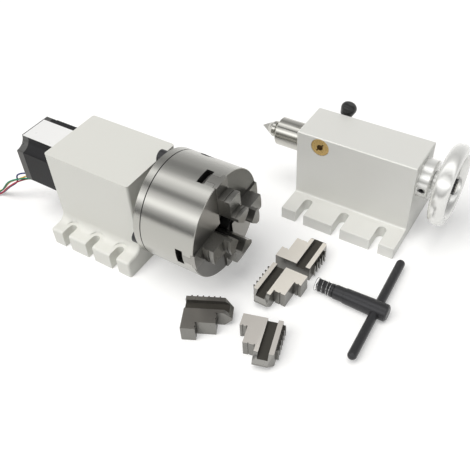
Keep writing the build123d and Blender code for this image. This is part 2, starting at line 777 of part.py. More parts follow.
# Mounted jaws: each is a sector of one turned profile, tall at the middle of
# the chuck, with a pointed tip, guide grooves in its flanks and scroll teeth.
jaw_end = jaw_tip_radius + jaw_length
tip_flat = 1.0
for index, angle in enumerate(jaw_angles):
    outward = (0, cos(radians(angle)), sin(radians(angle)))
    half_plane = Plane(origin=(0, 0, spindle_height), x_dir=(1, 0, 0), z_dir=(0, -outward[2], outward[1]))
    middle_top = jaw_top - jaw_step_one
    low_top = jaw_top - jaw_step_two
    with BuildPart() as jaw:
        with BuildSketch(half_plane):
            with BuildLine():
                corners = [(teeth_root, jaw_tip_radius + jaw_base_start),
                           (base_top, jaw_tip_radius + jaw_base_start),
                           (base_top, jaw_tip_radius), (jaw_top, jaw_tip_radius)]
                corners += riser(jaw_tip_radius + jaw_top_length, jaw_top, middle_top, -1)
                second = jaw_tip_radius + jaw_top_length + jaw_middle_length
                corners += riser(second, middle_top, low_top, -1)
                corners += [(low_top, jaw_end), (base_top, jaw_end),
                            (base_top, jaw_tip_radius + jaw_base_end),
                            (teeth_root, jaw_tip_radius + jaw_base_end)]
                Polyline(*corners, close=True)
            make_face()
        revolve(axis=spindle_axis)
        with BuildSketch(cross(teeth_tip, turn=angle)):
            with BuildLine():
                shoulder = jaw_tip_radius + jaw_width / 2 - tip_flat
                flank = jaw_width / 2
                Polyline((jaw_tip_radius, tip_flat), (shoulder, flank), (jaw_end + 1, flank),
                         (jaw_end + 1, -flank), (shoulder, -flank), (jaw_tip_radius, -tip_flat), close=True)
            make_face()
        extrude(amount=jaw_height, mode=Mode.INTERSECT)
        with BuildSketch(cross(base_top, turn=angle)):
            for side in (-1, 1):
                with Locations(((jaw_tip_radius + jaw_end) / 2, side * (jaw_width + jaw_neck) / 4)):
                    Rectangle(jaw_length + 4, (jaw_width - jaw_neck) / 2)
        extrude(amount=jaw_groove, mode=Mode.SUBTRACT)
        for tooth in range(jaw_tooth_count):
            at = scroll_first_radius + scroll_pitch * (angle / 360 + tooth + 0.5)
            add(crescent(cross(teeth_tip, turn=angle), at, 0, 1))
    jaw.part.label = f"jaw_{index + 1}"
    export_step(jaw.part, f"parts/jaw_{index + 1}.step")

# Spare jaws: the same blanks stepped the other way, lying on their flanks.
# Each is given by its tall end at the teeth, the way its length runs, and
# which flank is up.
spare_length = 42.0
spare_top_length = 12.5
spare_middle_length = 16.5
spare_base_end = 34.0
spare_places = [
    ((203.6, -35.3), (0.277, -0.961), -1),
    ((113.4, -52.2), (0.899, 0.438), -1),
    ((158.0, 17.7), (0.0, -1.0), 1),
    ((195.2, 26.5), (0.0, 1.0), 1),
]
for index, (place, along, up) in enumerate(spare_places):
    lift = 0 if up > 0 else jaw_width
    flank = Plane(origin=(place[0], place[1], lift), x_dir=(along[0], along[1], 0), z_dir=(0, 0, up))
    with BuildPart() as spare_jaw:
        with BuildSketch(flank):
            with BuildLine():
                top = jaw_height
                middle_top = top - jaw_step_one
                low_top = top - jaw_step_two
                steps_down = riser(spare_top_length, top, middle_top, -1)
                steps_down += riser(spare_top_length + spare_middle_length, middle_top, low_top, -1)
                base = jaw_teeth_height + jaw_base_thickness
                corners = [(0, jaw_teeth_height), (0, top)]
                corners += [(station, level) for level, station in steps_down]
                corners += [(spare_length, low_top), (spare_length, base), (spare_base_end, jaw_teeth_height)]
                Polyline(*corners, close=True)
            make_face()
        extrude(amount=jaw_width)
        below = Plane(origin=flank.origin, x_dir=flank.x_dir, z_dir=flank.y_dir)
        with BuildSketch(below):
            with BuildLine():
                shoulder = spare_length - jaw_width / 2 + tip_flat
                Polyline((-1, 0), (shoulder, 0), (spare_length, -jaw_width / 2 + tip_flat),
                         (spare_length, -jaw_width / 2 - tip_flat), (shoulder, -jaw_width), (-1, -jaw_width),
                         close=True)
            make_face()
        extrude(amount=jaw_height + 1, mode=Mode.INTERSECT)
        for level in (0, jaw_width):
            with BuildSketch(flank.offset(level)):
                with Locations((spare_length / 2, base + jaw_groove / 2)):
                    Rectangle(spare_length + 4, jaw_groove)
            deep = (jaw_width - jaw_neck) / 2
            extrude(amount=deep if level == 0 else -deep, mode=Mode.SUBTRACT)
        first = 2.5 + scroll_pitch / jaw_count * index
        for tooth in range(int((spare_base_end - 3 - first) / scroll_pitch) + 1):
            add(crescent(below, first + scroll_pitch * tooth, -jaw_width / 2, -1))
    spare_jaw.part.label = f"spare_jaw_{index + 1}"
    export_step(spare_jaw.part, f"parts/spare_jaw_{index + 1}.step")

# Tailstock body
tail_half = tail_width / 2 + tail_foot_reach
plug_x = tail_front + plug_from_front
quill_radius = quill_diameter / 2
quill_bore = quill_radius + running_gap
collar_spigot = 8.0
with BuildPart() as tailstock_body:
    add(base_block(tail_x, tail_y, tail_length, tail_width, tail_height, tail_foot_height,
                   tail_foot_reach, tail_root_radius, tail_edge))
    top_edges = tailstock_body.faces().sort_by(Axis.Z)[-1].edges()
    chamfer(top_edges, length=tail_edge)
    add(foot_slots(tail_x, tail_y, tail_half, tail_slot_pitch, slot_count, tail_slot_width,
                   tail_slot_reach, tail_foot_height), mode=Mode.SUBTRACT)
    add(sleeve(tail_front, tail_rear, quill_bore, 0, tail_section, tail_axis), mode=Mode.SUBTRACT)
    with BuildSketch(Plane(origin=(plug_x, tail_y - tail_width / 2, plug_height), x_dir=(1, 0, 0),
                           z_dir=(0, 1, 0))):
        Circle(plug_diameter / 2)
    extrude(amount=tail_width, mode=Mode.SUBTRACT)
tailstock_body.part.label = "tailstock_body"
export_step(tailstock_body.part, "parts/tailstock_body.step")


def clamp_plug(side, thread):
    """One of the two plugs that the lock stud draws together against the quill."""
    face = tail_y + side * tail_width / 2
    outside = Plane(origin=(plug_x, face, plug_height), x_dir=(1, 0, 0), z_dir=(0, side, 0))
    with BuildPart() as plug:
        with BuildSketch(outside):
            Circle(plug_diameter / 2)
        extrude(amount=-tail_width / 2 + 6)
        add(sleeve(tail_front, tail_rear, quill_radius + free_gap, 0, tail_section, tail_axis),
            mode=Mode.SUBTRACT)
        with BuildSketch(outside):
            Circle(thread)
        extrude(amount=-tail_width, mode=Mode.SUBTRACT)
    return plug.part


stud_radius = lock_stud / 2
with BuildPart() as brass_plug:
    add(clamp_plug(-1, stud_radius + running_gap))
    outer_rim = brass_plug.edges().filter_by(GeomType.CIRCLE).sort_by(Axis.Y)[0]
    chamfer(outer_rim, length=0.8)
    with BuildSketch(Plane(origin=(plug_x, tail_y - tail_width / 2, plug_height), x_dir=(1, 0, 0),
                           z_dir=(0, -1, 0))):
        Rectangle(1.4, plug_diameter * 0.55, rotation=-40)
    extrude(amount=-1.5, mode=Mode.SUBTRACT)
brass_plug.part.label = "brass_plug"
export_step(brass_plug.part, "parts/brass_plug.step")

with BuildPart() as steel_plug:
    add(clamp_plug(1, stud_radius + running_gap))
steel_plug.part.label = "steel_plug"
export_step(steel_plug.part, "parts/steel_plug.step")

# Lock lever: a stud across the tailstock, a hub, an arm and a knob
lever_lean = 15.0
lever_rise = 14.0
lever_hub_diameter = 11.0
lever_hub_length = 12.0
lever_outward = 0.16
lever_arm_diameter = 6.4
lever_start = tail_y + tail_width / 2 + free_gap
lever_middle = lever_start + lever_hub_length / 2
knob_length = 12.0
knob_diameter = 15.5
knob_foot_diameter = 12.2
knob_band = 6.0
knob_rounding = 5.0
lean_direction = (sin(radians(lever_lean)), lever_outward, cos(radians(lever_lean)))
with BuildPart() as lock_lever:
    with BuildSketch(Plane(origin=(plug_x, tail_y - tail_width / 2 + 1.8, plug_height), x_dir=(1, 0, 0),
                           z_dir=(0, 1, 0))):
        Circle(stud_radius)
    extrude(amount=tail_width + lever_hub_length)
    with BuildSketch(Plane(origin=(plug_x, lever_start, plug_height), x_dir=(1, 0, 0), z_dir=(0, 1, 0))):
        Circle(lever_hub_diameter / 2)
    extrude(amount=lever_hub_length)
    arm = Plane(origin=(plug_x, lever_middle, plug_height), z_dir=lean_direction)
    with BuildSketch(arm):
        Circle(lever_arm_diameter / 2)
    extrude(amount=lever_rise)
lock_lever.part.label = "lock_lever"
export_step(lock_lever.part, "parts/lock_lever.step")

with BuildPart() as lever_knob:
    knob_foot = arm.offset(lever_hub_diameter / 2 + 1.2)
    with BuildSketch(knob_foot):
        Circle(knob_foot_diameter / 2)
    with BuildSketch(knob_foot.offset(knob_length - knob_band)):
        Circle(knob_diameter / 2)
    loft()
    with BuildSketch(knob_foot.offset(knob_length - knob_band)):
        Circle(knob_diameter / 2)
    extrude(amount=knob_band)
    knob_top = lever_knob.faces().sort_by(Axis.Z)[-1].edges()
    fillet(knob_top, radius=knob_rounding)
    with BuildSketch(arm):
        Circle(lever_arm_diameter / 2)
    extrude(amount=lever_rise, mode=Mode.SUBTRACT)
lever_knob.part.label = "lever_knob"
export_step(lever_knob.part, "parts/lever_knob.step")

# Quill and its live centre
quill_front = tail_front - quill_reach
quill_rear = quill_front + quill_length
bearing_bore = 11.0
shank = 5.0
chamber_length = 30.0
chamber_end = quill_front + chamber_length
nut_start = quill_rear - feed_nut_length
cap_end = quill_front + quill_cap_length
screw_front = quill_rear - feed_nut_length - quill_extend - 6
with BuildPart() as quill:
    outer = quill_radius
    add(turned([(cap_end, bearing_bore), (chamber_end, bearing_bore), (chamber_end, shank + 1.5),
                (nut_start, shank + 1.5), (nut_start, feed_nut_diameter / 2),
                (quill_rear, feed_nut_diameter / 2), (quill_rear, outer), (cap_end, outer)],
               tail_section, tail_axis))
    flat_start = plug_x - quill_retract - stud_radius - free_gap
    flat_end = plug_x + quill_extend + stud_radius + free_gap
    with BuildSketch(cross(flat_start, tail_y)):
        with Locations((0, quill_flat_height + 5)):
            Rectangle(quill_diameter, 10)
    extrude(amount=flat_end - flat_start, mode=Mode.SUBTRACT)
quill.part.label = "quill"
export_step(quill.part, "parts/quill.step")

centre_neck_radius = centre_neck / 2
with BuildPart() as quill_cap:
    add(turned([(quill_front, centre_neck_radius + 1), (cap_end, centre_neck_radius + 1),
                (cap_end, outer), (quill_front + 1, outer), (quill_front, outer - 1)],
               tail_section, tail_axis))
quill_cap.part.label = "quill_cap"
export_step(quill_cap.part, "parts/quill_cap.step")

with BuildPart() as feed_nut:
    add(sleeve(nut_start, quill_rear, feed_nut_diameter / 2,
               feed_screw_diameter / 2 + running_gap, tail_section, tail_axis))
feed_nut.part.label = "feed_nut"
export_step(feed_nut.part, "parts/feed_nut.step")

with BuildPart() as centre_bearings:
    centre_bearing_width = 7.0
    for start in (cap_end, chamber_end - centre_bearing_width):
        add(sleeve(start, start + centre_bearing_width, bearing_bore, shank + running_gap,
                   tail_section, tail_axis))
centre_bearings.part.label = "centre_bearings"
export_step(centre_bearings.part, "parts/centre_bearings.step")

tip_x = quill_front - centre_reach
cone_length = centre_diameter / 2 / tan(radians(centre_angle / 2))
with BuildPart() as live_centre:
    cone_end = tip_x + cone_length
    land_end = cone_end + centre_land
    neck_end = cap_end - free_gap
    big = centre_diameter / 2
    add(turned([(tip_x, 0), (cone_end, big), (land_end, big), (land_end, centre_neck_radius),
                (neck_end, centre_neck_radius), (neck_end, shank), (chamber_end - 0.5, shank),
                (chamber_end - 0.5, 0)], tail_section, tail_axis))
live_centre.part.label = "live_centre"
export_step(live_centre.part, "parts/live_centre.step")

# Feed screw, its collar and the handwheel
flange_start = tail_rear - collar_spigot - 4
screw_radius = feed_screw_diameter / 2
collar_end = tail_rear + collar_length
wheel_x = collar_end + wheel_gap
hub_start = collar_end + free_gap
hub_end = wheel_x + 2
with BuildPart() as feed_screw:
    flange_end = tail_rear - collar_spigot + 0.7
    add(turned([(screw_front, 0), (screw_front + 1, screw_radius - 1), (screw_front + 1, screw_radius),
                (flange_start, screw_radius), (flange_start, 9), (flange_end, 9),
                (flange_end, screw_radius), (hub_end + 5, screw_radius), (hub_end + 5, 0)],
               tail_section, tail_axis))
feed_screw.part.label = "feed_screw"
export_step(feed_screw.part, "parts/feed_screw.step")

collar_radius = collar_diameter / 2
set_screw_angle = 186.0
set_x = tail_rear + collar_length / 2
with BuildPart() as end_collar:
    add(turned([(tail_rear - collar_spigot, 10), (tail_rear - collar_spigot + 1, 10),
                (tail_rear - collar_spigot + 1, screw_radius + running_gap),
                (collar_end, screw_radius + running_gap), (collar_end, collar_radius - 0.8),
                (collar_end - 0.8, collar_radius), (tail_rear, collar_radius), (tail_rear, quill_radius),
                (tail_rear - collar_spigot, quill_radius)], tail_section, tail_axis))
    set_out = (0, cos(radians(set_screw_angle)), sin(radians(set_screw_angle)))
    set_at = (set_x, tail_y + collar_radius * set_out[1], spindle_height + collar_radius * set_out[2])
    set_plane = Plane(origin=set_at, x_dir=(1, 0, 0), z_dir=set_out)
    with BuildSketch(set_plane):
        Circle(collar_screw / 2)
    extrude(amount=-9, mode=Mode.SUBTRACT)
end_collar.part.label = "end_collar"
export_step(end_collar.part, "parts/end_collar.step")

with BuildPart() as collar_set_screw:
    with BuildSketch(set_plane.offset(-1.2)):
        Circle(collar_screw / 2)
    extrude(amount=-7.8)
    with BuildSketch(set_plane.offset(-1.2)):
        RegularPolygon(1.7, 6)
    extrude(amount=-2.5, mode=Mode.SUBTRACT)
collar_set_screw.part.label = "collar_set_screw"
export_step(collar_set_screw.part, "parts/collar_set_screw.step")

with BuildPart() as handwheel:
    wheel_hub_radius = wheel_hub_diameter / 2
    web_x = wheel_x + 1.5
    add(turned([(hub_start, screw_radius), (hub_end, screw_radius), (hub_end, wheel_hub_radius - 1),
                (web_x - 2, wheel_hub_radius + 1), (web_x, wheel_radius - 3),
                (web_x - wheel_web, wheel_radius - 3), (web_x - 2 - wheel_web, wheel_hub_radius),
                (hub_start, wheel_hub_radius)], tail_section, tail_axis))
    with BuildSketch(tail_section):
        with Locations((wheel_x, wheel_radius)):
            Ellipse(wheel_rim_width / 2, wheel_rim_radius)
    revolve(axis=tail_axis)
handwheel.part.label = "handwheel"
export_step(handwheel.part, "parts/handwheel.step")

with BuildPart() as wheel_nut:
    with BuildSketch(cross(hub_end, tail_y)):
        RegularPolygon(7.5, 6)
        Circle(screw_radius, mode=Mode.SUBTRACT)
    extrude(amount=4)
wheel_nut.part.label = "wheel_nut"
export_step(wheel_nut.part, "parts/wheel_nut.step")

# Chuck key: a turned body lying on the table, a square nose with an ejector
# spring round it, and a bar that slides through the head
key_height = key_body_diameter / 2
key_axis = Axis((0, key_y, key_height), (1, 0, 0))
key_section = Plane(origin=(0, key_y, key_height), x_dir=(1, 0, 0), z_dir=(0, -1, 0))
neck_x = key_nose_x + key_nose_length
key_end = key_nose_x + key_length
bar_run = (-sin(radians(bar_lean)), cos(radians(bar_lean)), 0)
bar_plane = Plane(origin=(key_end - bar_from_head, key_y, key_height), x_dir=(0, 0, 1), z_dir=bar_run)
with BuildPart() as key_body:
    neck = key_neck_diameter / 2
    body = key_body_diameter / 2
    add(turned([(neck_x, 0), (neck_x, neck), (neck_x + 1.6, neck), (neck_x + 1.6, neck - 1.3),
                (neck_x + 3, neck - 1.3), (neck_x + 3, neck + 0.4), (neck_x + 11, neck + 0.4),
                (neck_x + 13, neck + 0.9),
                (key_end - 16, body), (key_end - 1.5, body), (key_end, body - 2), (key_end, 0)],
               key_section, key_axis))
    with BuildSketch(Plane(origin=(key_nose_x, key_y, key_height), x_dir=(0, 1, 0), z_dir=(1, 0, 0))):
        Rectangle(key_square, key_square)
    extrude(amount=key_nose_length)
    with BuildSketch(bar_plane.offset(-key_body_diameter)):
        Circle(bar_diameter / 2 + 0.1)
    extrude(amount=2 * key_body_diameter, mode=Mode.SUBTRACT)
key_body.part.label = "key_body"
export_step(key_body.part, "parts/key_body.step")

with BuildPart() as tommy_bar:
    with BuildSketch(bar_plane.offset(bar_offset - bar_length / 2)):
        Circle(bar_diameter / 2)
    extrude(amount=bar_length)
    fillet(tommy_bar.edges().filter_by(GeomType.CIRCLE), radius=bar_diameter / 2 - 0.1)
tommy_bar.part.label = "tommy_bar"
export_step(tommy_bar.part, "parts/tommy_bar.step")

spring_outer = key_spring_diameter / 2
with BuildPart() as key_spring:
    add(sleeve(key_nose_x - 1.5, neck_x, spring_outer, spring_outer - key_spring_wire, key_section, key_axis))
key_spring.part.label = "key_spring"
export_step(key_spring.part, "parts/key_spring.step")

# Motor leads: four soft wires that hang from the grommet, lie on the table and
# run side by side into one small coil. The points are chosen by hand.
lead_routes = {
    "green": [(exit_x, exit_y - 1.5 * lead_pitch, exit_z), (exit_x, exit_y - 1.5 * lead_pitch, 28.6),
              (-96.4, -10.3, 25.2), (-105.0, -11.5, 25.0), (-114.8, -14.1, 26.2),
              (-121.6, -21.8, 27.9), (-129.0, -25.1, 25.3), (-136.4, -26.4, 19.9),
              (-142.9, -27.2, 11.8), (-148.6, -27.8, 5.2), (-157.1, -29.6, 0.8), (-163.1, -32.5, 0.8)],
    "yellow": [(exit_x, exit_y - 0.5 * lead_pitch, exit_z), (exit_x, exit_y - 0.5 * lead_pitch, 28.5),
               (-96.3, -7.9, 26.0), (-105.0, -9.6, 26.6), (-116.1, -12.0, 28.3), (-123.2, -19.6, 25.6),
               (-130.4, -22.9, 22.9), (-137.4, -24.5, 17.9), (-144.0, -25.5, 10.0),
               (-150.4, -26.2, 3.8), (-159.2, -28.6, 0.8), (-166.8, -32.2, 0.8)],
    "red": [(exit_x, exit_y + 0.5 * lead_pitch, exit_z), (exit_x, exit_y + 0.5 * lead_pitch, 28.2),
            (-96.0, -5.6, 24.3), (-105.0, -8.3, 23.6), (-115.6, -12.2, 24.4), (-121.6, -21.8, 25.2),
            (-127.6, -25.8, 21.6), (-135.3, -27.8, 15.4), (-143.2, -28.9, 7.8), (-148.7, -30.7, 2.6),
            (-154.6, -32.5, 0.8), (-158.6, -34.4, 0.8)],
    "blue": [(exit_x, exit_y + 1.5 * lead_pitch, exit_z), (exit_x, exit_y + 1.5 * lead_pitch, 28.8),
             (-96.2, -2.7, 26.4), (-104.5, -5.4, 27.4), (-114.0, -8.8, 29.0), (-121.8, -12.2, 29.0),
             (-127.4, -16.4, 28.2), (-128.2, -18.4, 25.6), (-126.9, -18.9, 22.6),
             (-127.3, -21.6, 20.1), (-131.0, -24.8, 17.6), (-136.3, -26.6, 13.4), (-144.0, -27.3, 6.0),
             (-148.9, -28.6, 2.2), (-155.8, -31.0, 0.8), (-160.5, -33.3, 0.8)],
}
for colour, points in lead_routes.items():
    runs = [Vector(*b) - Vector(*a) for a, b in zip(points, points[1:])]
    radii = []
    for before, after in zip(runs, runs[1:]):
        half_turn = radians(before.get_angle(after)) / 2
        radii.append(0.45 * min(before.length, after.length) / tan(half_turn))
    print(colour, "lead's arc radii", [round(radius, 1) for radius in radii])
    with BuildPart() as lead:
        with BuildLine():
            route = FilletPolyline(*points, radius=radii)
        with BuildSketch(Plane(origin=points[0], z_dir=runs[0])):
            Circle(lead_diameter / 2)
        sweep(path=route)
    lead.part.label = f"lead_{colour}"
    export_step(lead.part, f"parts/lead_{colour}.step")
    share = lead.part.volume / (pi * lead_diameter ** 2 / 4 * route.length)
    print(colour, "lead's length", round(route.length, 1), "volume by section times length", round(share, 3))

coil_axis = Axis((coil_x, coil_y, 0), (0, 0, 1))
with BuildPart() as lead_coil:
    with BuildSketch(Plane(origin=(coil_x, coil_y, 0), x_dir=(1, 0, 0), z_dir=(0, -1, 0))):
        with BuildLine():
            Polyline((coil_inner, 0), (coil_outer, 0), (coil_outer, coil_low), (coil_inner, coil_high),
                     close=True)
        make_face()
    revolve(axis=coil_axis)
lead_coil.part.label = "lead_coil"
export_step(lead_coil.part, "parts/lead_coil.step")
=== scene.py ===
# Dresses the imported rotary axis: finishes, the four motor leads and the key's spring
import json
import math

import bmesh
import bpy
import numpy as np
from mathutils import Matrix, Vector


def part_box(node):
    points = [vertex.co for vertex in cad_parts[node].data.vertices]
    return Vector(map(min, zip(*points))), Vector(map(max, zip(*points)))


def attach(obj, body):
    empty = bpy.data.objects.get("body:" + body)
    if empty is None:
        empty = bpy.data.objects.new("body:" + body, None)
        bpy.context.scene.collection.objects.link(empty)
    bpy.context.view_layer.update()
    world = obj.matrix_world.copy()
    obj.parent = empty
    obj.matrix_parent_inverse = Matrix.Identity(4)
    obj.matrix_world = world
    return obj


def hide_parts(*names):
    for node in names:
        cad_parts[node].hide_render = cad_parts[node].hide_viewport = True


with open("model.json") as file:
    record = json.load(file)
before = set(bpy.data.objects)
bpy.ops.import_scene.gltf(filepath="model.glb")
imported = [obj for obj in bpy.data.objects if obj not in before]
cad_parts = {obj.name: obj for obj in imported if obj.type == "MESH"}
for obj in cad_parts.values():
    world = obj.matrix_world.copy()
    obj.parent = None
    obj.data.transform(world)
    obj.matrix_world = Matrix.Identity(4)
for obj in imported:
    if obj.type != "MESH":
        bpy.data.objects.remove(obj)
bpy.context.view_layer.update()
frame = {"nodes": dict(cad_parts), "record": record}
print("frame loaded,", len(frame["nodes"]), "nodes")

# Camera
cameraView = {
    "place": (0.35783, -0.32292, 0.44607),
    "azimuth": 34.92,       # degrees round from the front
    "elevation": 45.00,
    "roll": -3.82,
    "lens": 49.04,          # millimetres, as the sensor
    "sensor": 36.0,
}


def directionTo(turn, height):
    # A unit vector from two angles in radians: round from the front, and up
    return Vector((math.sin(turn) * math.cos(height), -math.cos(turn) * math.cos(height), math.sin(height)))


def makeCamera():
    azimuth, elevation, roll = (math.radians(cameraView[k]) for k in ("azimuth", "elevation", "roll"))
    back = directionTo(azimuth, elevation)
    right = (-back).cross(Vector((0, 0, 1))).normalized()
    up = right.cross(-back)
    turnedRight = math.cos(roll) * right + math.sin(roll) * up
    turnedUp = -math.sin(roll) * right + math.cos(roll) * up
    data = bpy.data.cameras.new("camera")
    data.lens = cameraView["lens"]
    data.sensor_width = cameraView["sensor"]
    camera = bpy.data.objects.new("camera", data)
    axes = Matrix((turnedRight, turnedUp, back)).transposed()
    camera.matrix_world = Matrix.Translation(cameraView["place"]) @ axes.to_4x4()
    bpy.context.scene.collection.objects.link(camera)
    bpy.context.scene.camera = camera


makeCamera()


# Materials: what all of them are made with
def mathNode(nodes, links, operation, *values):
    # A Math node that takes numbers and other nodes' outputs
    node = nodes.new("ShaderNodeMath")
    node.operation = operation
    for socket, value in zip(node.inputs, values):
        if isinstance(value, bpy.types.NodeSocket):
            links.new(value, socket)
        else:
            socket.default_value = value
    return node.outputs[0]


def newMaterial(name, colour, metallic, roughness, specular=0.5):
    material = bpy.data.materials.new(name)
    material.use_nodes = True
    shader = material.node_tree.nodes["Principled BSDF"]
    shader.inputs["Base Color"].default_value = (*colour, 1)
    shader.inputs["Metallic"].default_value = metallic
    shader.inputs["Roughness"].default_value = roughness
    shader.inputs["Specular IOR Level"].default_value = specular
    return material, material.node_tree.nodes, material.node_tree.links, shader


def seenBy(nodes, links, *rays):
    # One for what rays of the named kinds see, nothing for what only lights the object
    path = nodes.new("ShaderNodeLightPath")
    result = path.outputs[rays[0]]
    for ray in rays[1:]:
        result = mathNode(nodes, links, "MAXIMUM", result, path.outputs[ray])
    return result


# Studio light, world and floor
studio = {
    # Lamps: watts per square metre, and degrees: round from the front, up, and the lamp's width
    "keyStrength": 1.35, "keyAngles": (-35, 48, 38),
    "topStrength": 1.40, "topAngles": (-20, 82, 34),
    "lampColour": (1.0, 0.99, 0.965),
    "ambient": 0.30, "horizon": 1.0, "zenith": 0.42,
    "floorColour": (0.74, 0.74, 0.74), "floorRoughness": 0.9, "floorGlow": 0.30, "floorReach": 6.0,
    # The panels that metal reflects: degrees from the front horizon over the top, and brightness
    "panels": [(-12, 0.40), (3, 0.05), (18, 0.38), (34, 1.15), (50, 0.60), (64, 0.12),
               (78, 0.60), (92, 0.92), (108, 0.32), (126, 0.20), (150, 0.34), (175, 0.50)],
    "panelStrength": 1.75,
}


def makeLamp(name, angles, strength):
    turn, height, width = (math.radians(value) for value in angles)
    data = bpy.data.lights.new(name, "SUN")
    data.energy = strength
    data.angle = width
    data.color = studio["lampColour"]
    light = bpy.data.objects.new(name, data)
    light.visible_glossy = False        # reflections show the world's panels instead
    light.rotation_euler = directionTo(turn, height).to_track_quat("Z", "Y").to_euler()
    bpy.context.scene.collection.objects.link(light)


def makeWorld():
    world = bpy.data.worlds.new("studio")
    bpy.context.scene.world = world
    world.use_nodes = True
    nodes, links = world.node_tree.nodes, world.node_tree.links
    background = nodes["Background"]
    background.inputs["Color"].default_value = (1, 1, 1, 1)
    direction = nodes.new("ShaderNodeTexCoord")
    apart = nodes.new("ShaderNodeSeparateXYZ")
    links.new(direction.outputs["Generated"], apart.inputs["Vector"])
    # The camera sees white at the horizon, darker overhead
    height = nodes.new("ShaderNodeMapRange")
    height.inputs["To Min"].default_value = studio["horizon"]
    height.inputs["To Max"].default_value = studio["zenith"]
    links.new(apart.outputs["Z"], height.inputs["Value"])
    # The angle round the spindle's direction, from the front horizon, picks a panel's brightness
    behind = mathNode(nodes, links, "MULTIPLY", apart.outputs["Y"], -1)
    around = mathNode(nodes, links, "ARCTAN2", apart.outputs["Z"], behind)
    share = nodes.new("ShaderNodeMapRange")
    share.inputs["From Min"].default_value = -math.pi
    share.inputs["From Max"].default_value = math.pi
    links.new(around, share.inputs["Value"])
    panels = nodes.new("ShaderNodeValToRGB")
    panels.color_ramp.interpolation = "EASE"
    stops = panels.color_ramp.elements
    while len(stops) < len(studio["panels"]):
        stops.new(0.5)
    for stop, (angle, bright) in zip(stops, studio["panels"]):
        stop.position = (angle + 180) / 360
        stop.color = (bright, bright, bright, 1)
    links.new(share.outputs["Result"], panels.inputs["Fac"])
    reflected = mathNode(nodes, links, "MULTIPLY", panels.outputs["Color"], studio["panelStrength"])
    # What lights the object, what the camera sees, and what metal reflects
    seen = nodes.new("ShaderNodeMix")
    seen.inputs["A"].default_value = studio["ambient"]
    links.new(seenBy(nodes, links, "Is Camera Ray"), seen.inputs["Factor"])
    links.new(height.outputs["Result"], seen.inputs["B"])
    mirrored = nodes.new("ShaderNodeMix")
    links.new(seenBy(nodes, links, "Is Glossy Ray", "Is Transmission Ray"), mirrored.inputs["Factor"])
    links.new(seen.outputs["Result"], mirrored.inputs["A"])
    links.new(reflected, mirrored.inputs["B"])
    links.new(mirrored.outputs["Result"], background.inputs["Strength"])


def makeFloor():
    mesh = bpy.data.meshes.new("floor")
    reach = studio["floorReach"]
    corners = [(-reach, -reach, 0), (reach, -reach, 0), (reach, reach, 0), (-reach, reach, 0)]
    mesh.from_pydata(corners, [], [(0, 1, 2, 3)])
    floor = bpy.data.objects.new("floor", mesh)
    bpy.context.scene.collection.objects.link(floor)
    colour, roughness = studio["floorColour"], studio["floorRoughness"]
    material, nodes, links, shader = newMaterial("floor", colour, 0.0, roughness)
    shader.inputs["Emission Color"].default_value = (1, 1, 1, 1)
    seen = seenBy(nodes, links, "Is Camera Ray", "Is Glossy Ray", "Is Transmission Ray")
    glow = mathNode(nodes, links, "MULTIPLY", seen, studio["floorGlow"])
    links.new(glow, shader.inputs["Emission Strength"])
    mesh.materials.append(material)


for lamp in ("key", "top"):
    makeLamp(lamp + "Light", studio[lamp + "Angles"], studio[lamp + "Strength"])
makeWorld()
makeFloor()
bpy.context.scene.view_settings.view_transform = "Standard"
print("camera and studio set")

# Finishes
spindleLine = (0.0, 0.062)      # y and z of the headstock's line
tailLine = (0.1408, 0.062)


def spread(nodes, links, source, low, high):
    # Maps a 0 to 1 value to a range
    ramp = nodes.new("ShaderNodeMapRange")
    ramp.inputs["To Min"].default_value = low
    ramp.inputs["To Max"].default_value = high
    links.new(source, ramp.inputs["Value"])
    return ramp.outputs["Result"]


def bumpFrom(nodes, links, shader, source, distance, strength=1.0):
    bump = nodes.new("ShaderNodeBump")
    bump.inputs["Distance"].default_value = distance
    bump.inputs["Strength"].default_value = strength
    links.new(source, bump.inputs["Height"])
    links.new(bump.outputs["Normal"], shader.inputs["Normal"])


grainDetail = 3


def grainMaterial(name, colour, metallic, roughness, grain, depth, stretch=(1, 1, 1), change=0.06):
    # A noise of a given size that moves the roughness and the surface a little
    material, nodes, links, shader = newMaterial(name, colour, metallic, roughness)
    place = nodes.new("ShaderNodeTexCoord")
    turn = nodes.new("ShaderNodeMapping")
    turn.inputs["Scale"].default_value = stretch
    noise = nodes.new("ShaderNodeTexNoise")
    noise.inputs["Scale"].default_value = grain
    noise.inputs["Detail"].default_value = grainDetail
    links.new(place.outputs["Object"], turn.inputs["Vector"])
    links.new(turn.outputs["Vector"], noise.inputs["Vector"])
    rough = spread(nodes, links, noise.outputs["Fac"], roughness - change, roughness + change)
    links.new(rough, shader.inputs["Roughness"])
    bumpFrom(nodes, links, shader, noise.outputs["Fac"], depth)
    return material


latheMarks = {"rings": 1400.0, "detail": 4, "depth": 0.000008, "drawnOut": 0.6, "quarterTurn": 0.25}


